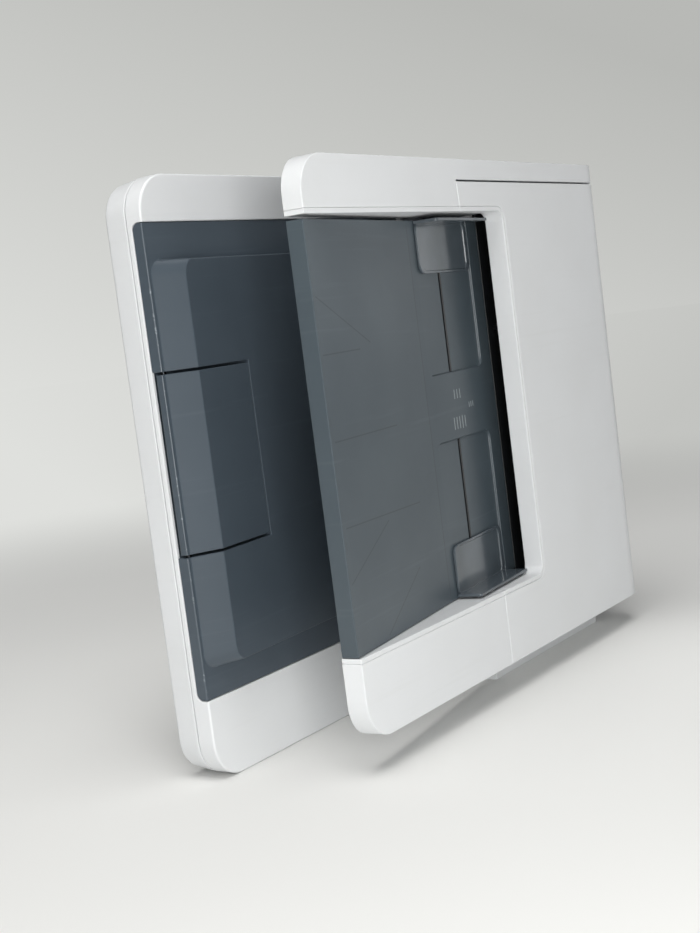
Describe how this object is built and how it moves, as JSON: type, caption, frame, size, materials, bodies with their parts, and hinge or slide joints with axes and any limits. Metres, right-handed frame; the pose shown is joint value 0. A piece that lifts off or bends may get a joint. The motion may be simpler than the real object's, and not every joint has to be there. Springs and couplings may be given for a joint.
{
  "type": "document feeder lid for a laser multifunction printer",
  "caption": "Flat scanner lid with a raised automatic document feeder: sloping input tray with sliding paper guides, output tray with fold-out stop, hinged jam cover.",
  "frame": {"origin": "centre of the bounding box at the rear edge that the unit stands on", "axes": "+X from the tray end to the feeder end, +Y out of the underside that faces the scanner glass, +Z from the rear edge up to the front edge"},
  "size_m": [0.4, 0.1632, 0.33],
  "materials": {
    "white_plastic": "fine matt moulded finish",
    "dark_plastic": "fine matt moulded finish",
    "glossy_dark": "polished",
    "black_plastic": "moulded",
    "gear_plastic": "moulded acetal",
    "bush_plastic": "moulded",
    "steel": "zinc plated",
    "rubber": "ground rubber",
    "foam": "closed-cell foam",
    "white_sheet": "smooth film"
  },
  "bodies": {
    "lid": {"lid_lower_shell": "white_plastic", "lid_upper_shell": "white_plastic", "lid_screws": "steel", "backing_foam": "foam", "backing_sheet": "white_sheet", "output_tray": "dark_plastic", "flap_pin": "steel", "feeder_base": "white_plastic", "base_screws": "steel", "front_arm": "white_plastic", "rear_arm": "white_plastic", "front_rail": "white_plastic", "rear_rail": "white_plastic", "input_tray": "dark_plastic", "tray_underside": "dark_plastic", "rear_frame": "steel", "front_frame": "steel", "shaft_bushes": "bush_plastic", "motor_plate": "steel", "motor": "steel", "paper_guide": "black_plastic", "outer_chute": "black_plastic", "exit_chute": "black_plastic", "cover_pins": "steel", "hinge_bracket_left": "steel", "hinge_bracket_right": "steel", "hinge_pin_left": "steel", "hinge_pin_right": "steel"},
    "cover": {"cover_shell": "white_plastic", "cover_lip": "white_plastic", "cover_liner": "black_plastic"},
    "flap": {"output_flap": "dark_plastic"},
    "guide_rear": {"guide_rear": "glossy_dark"},
    "guide_front": {"guide_front": "glossy_dark"},
    "guide_pinion": {"guide_pinion": "gear_plastic"},
    "scan_bar": {"scan_bar": "white_plastic"},
    "feed_roller": {"feed_roller": "rubber"},
    "transport_roller": {"transport_roller": "rubber"},
    "register_roller": {"register_roller": "rubber"},
    "exit_roller": {"exit_roller": "rubber"},
    "pinch_roller": {"pinch_roller": "gear_plastic"},
    "exit_pinch_roller": {"exit_pinch_roller": "gear_plastic"},
    "idler_gear": {"idler_gear": "gear_plastic"},
    "motor_pinion": {"motor_pinion": "gear_plastic"},
    "pickup_arm": {"pickup_arm": "black_plastic", "pickup_belt": "rubber"},
    "pickup_roller": {"pickup_roller": "rubber"},
    "pad_holder": {"pad_holder": "black_plastic", "separation_pad": "rubber"},
    "paper_flag": {"paper_flag": "black_plastic"},
    "hinge_leg_left": {"hinge_leg_left": "black_plastic"},
    "hinge_leg_right": {"hinge_leg_right": "black_plastic"}
  },
  "joints": [
    {"name": "cover_hinge", "type": "hinge", "parent": "lid", "child": "cover", "pos_m": [0.19, -0.00295, 0.1806], "axis": [0, 0, 1], "range_deg": [0, 70]},
    {"name": "flap_hinge", "type": "hinge", "parent": "lid", "child": "flap", "pos_m": [-0.1957, 0.00925, 0.175], "axis": [0, 0, -1], "range_deg": [0, 150]},
    {"name": "guide_rear_slide", "type": "slide", "parent": "lid", "child": "guide_rear", "axis": [0, 0, 1], "range_m": [0, 0.06]},
    {"name": "guide_front_slide", "type": "slide", "parent": "lid", "child": "guide_front", "axis": [0, 0, -1], "range_m": [0, 0.06]},
    {"name": "guide_pinion_turn", "type": "hinge", "parent": "lid", "child": "guide_pinion", "pos_m": [-0.01025, -0.05956, 0.1806], "axis": [0.0872, -0.9962, 0], "range_deg": [-290, 2]},
    {"name": "scan_bar_press", "type": "slide", "parent": "lid", "child": "scan_bar", "axis": [0, -1, 0], "range_m": [0, 0.0015], "stiffness_N_per_m": 300, "springref_m": -0.002},
    {"name": "transport_turn", "type": "hinge", "parent": "lid", "child": "transport_roller", "pos_m": [0.1389, -0.02087, 0.1806], "axis": [0, 0, 1], "continuous": true},
    {"name": "feed_turn", "type": "hinge", "parent": "lid", "child": "feed_roller", "pos_m": [0.11057, -0.06156, 0.1806], "axis": [0, 0, 1], "continuous": true},
    {"name": "register_turn", "type": "hinge", "parent": "lid", "child": "register_roller", "pos_m": [0.14715, -0.04351, 0.1806], "axis": [0, 0, 1], "continuous": true},
    {"name": "exit_turn", "type": "hinge", "parent": "lid", "child": "exit_roller", "pos_m": [0.07484, -0.01897, 0.1806], "axis": [0, 0, 1], "continuous": true},
    {"name": "pinch_turn", "type": "hinge", "parent": "lid", "child": "pinch_roller", "pos_m": [0.1592, -0.02087, 0.1806], "axis": [0, 0, 1], "continuous": true},
    {"name": "exit_pinch_turn", "type": "hinge", "parent": "lid", "child": "exit_pinch_roller", "pos_m": [0.07484, -0.00467, 0.1806], "axis": [0, 0, 1], "continuous": true},
    {"name": "idler_turn", "type": "hinge", "parent": "lid", "child": "idler_gear", "pos_m": [0.105, -0.02995, 0.1806], "axis": [0, 0, 1], "continuous": true},
    {"name": "motor_turn", "type": "hinge", "parent": "lid", "child": "motor_pinion", "pos_m": [0.09195, -0.05255, 0.1806], "axis": [0, 0, 1], "continuous": true},
    {"name": "pickup_arm_tilt", "type": "hinge", "parent": "lid", "child": "pickup_arm", "pos_m": [0.11057, -0.06156, 0.1806], "axis": [0, 0, -1], "range_deg": [0, 2.5]},
    {"name": "pickup_turn", "type": "hinge", "parent": "pickup_arm", "child": "pickup_roller", "pos_m": [0.07602, -0.06343, 0.1806], "axis": [0, 0, 1], "continuous": true},
    {"name": "pad_tilt", "type": "hinge", "parent": "lid", "child": "pad_holder", "pos_m": [0.12297, -0.04346, 0.1806], "axis": [0, 0, -1], "range_deg": [0, 3], "stiffness_Nm_per_rad": 0.02, "springref_deg": -28.65},
    {"name": "paper_flag_tilt", "type": "hinge", "parent": "lid", "child": "paper_flag", "pos_m": [0.07, -0.04645, 0.2235], "axis": [0, 0, 1], "range_deg": [0, 80], "stiffness_Nm_per_rad": 0.0001, "springref_deg": -28.65},
    {"name": "hinge_leg_left_turn", "type": "hinge", "parent": "lid", "child": "hinge_leg_left", "pos_m": [-0.12, 0.04255, 0.01], "axis": [-1, 0, 0], "range_deg": [0, 80]},
    {"name": "hinge_leg_right_turn", "type": "hinge", "parent": "lid", "child": "hinge_leg_right", "pos_m": [0.12, 0.04255, 0.01], "axis": [-1, 0, 0], "range_deg": [0, 80]}
  ],
  "couplings": [
    {"joint": "guide_front_slide", "follows": "guide_rear_slide", "ratio": 1},
    {"joint": "guide_pinion_turn", "follows": "guide_rear_slide", "rad_per_m": -83.333},
    {"joint": "feed_turn", "follows": "transport_turn", "ratio": 1.25},
    {"joint": "register_turn", "follows": "transport_turn", "ratio": -1.6667},
    {"joint": "exit_turn", "follows": "transport_turn", "ratio": 1.25},
    {"joint": "pinch_turn", "follows": "transport_turn", "ratio": -3},
    {"joint": "exit_pinch_turn", "follows": "transport_turn", "ratio": -2.25},
    {"joint": "idler_turn", "follows": "transport_turn", "ratio": -0.75},
    {"joint": "motor_turn", "follows": "transport_turn", "ratio": 2.5},
    {"joint": "pickup_turn", "follows": "transport_turn", "ratio": 1.25},
    {"joint": "hinge_leg_right_turn", "follows": "hinge_leg_left_turn", "ratio": 1}
  ]
}
